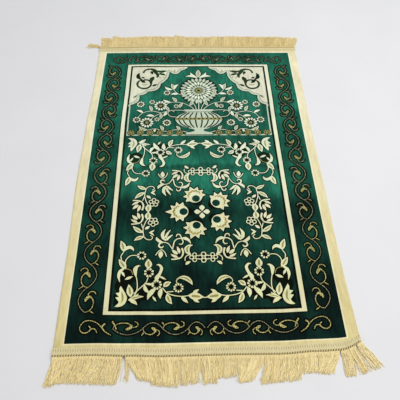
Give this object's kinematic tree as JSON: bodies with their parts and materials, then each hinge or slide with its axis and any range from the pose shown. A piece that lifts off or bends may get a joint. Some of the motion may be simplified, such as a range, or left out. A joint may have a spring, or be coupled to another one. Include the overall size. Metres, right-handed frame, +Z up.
{
  "type": "prayer rug",
  "caption": "Flat rectangular velour prayer rug with a cream border, a green field and a cream yarn fringe sewn along each end.",
  "frame": {"origin": "on the floor under the middle of the velour panel, at the middle of its flat underside", "axes": "+Z up, out of the pile; +Y along the rug from its near end to its far end, where the niche of the pattern points; +X to the right of someone at the near end"},
  "size_m": [0.7685, 1.2159, 0.0062],
  "materials": {
    "velour": "woven velour pile, cream border round a green field",
    "trim_yarn": "spun cream yarn, woven heading and loose strands"
  },
  "bodies": {
    "root": {"pile_panel": "velour", "fringe_near": "trim_yarn", "fringe_far": "trim_yarn"}
  },
  "joints": []
}
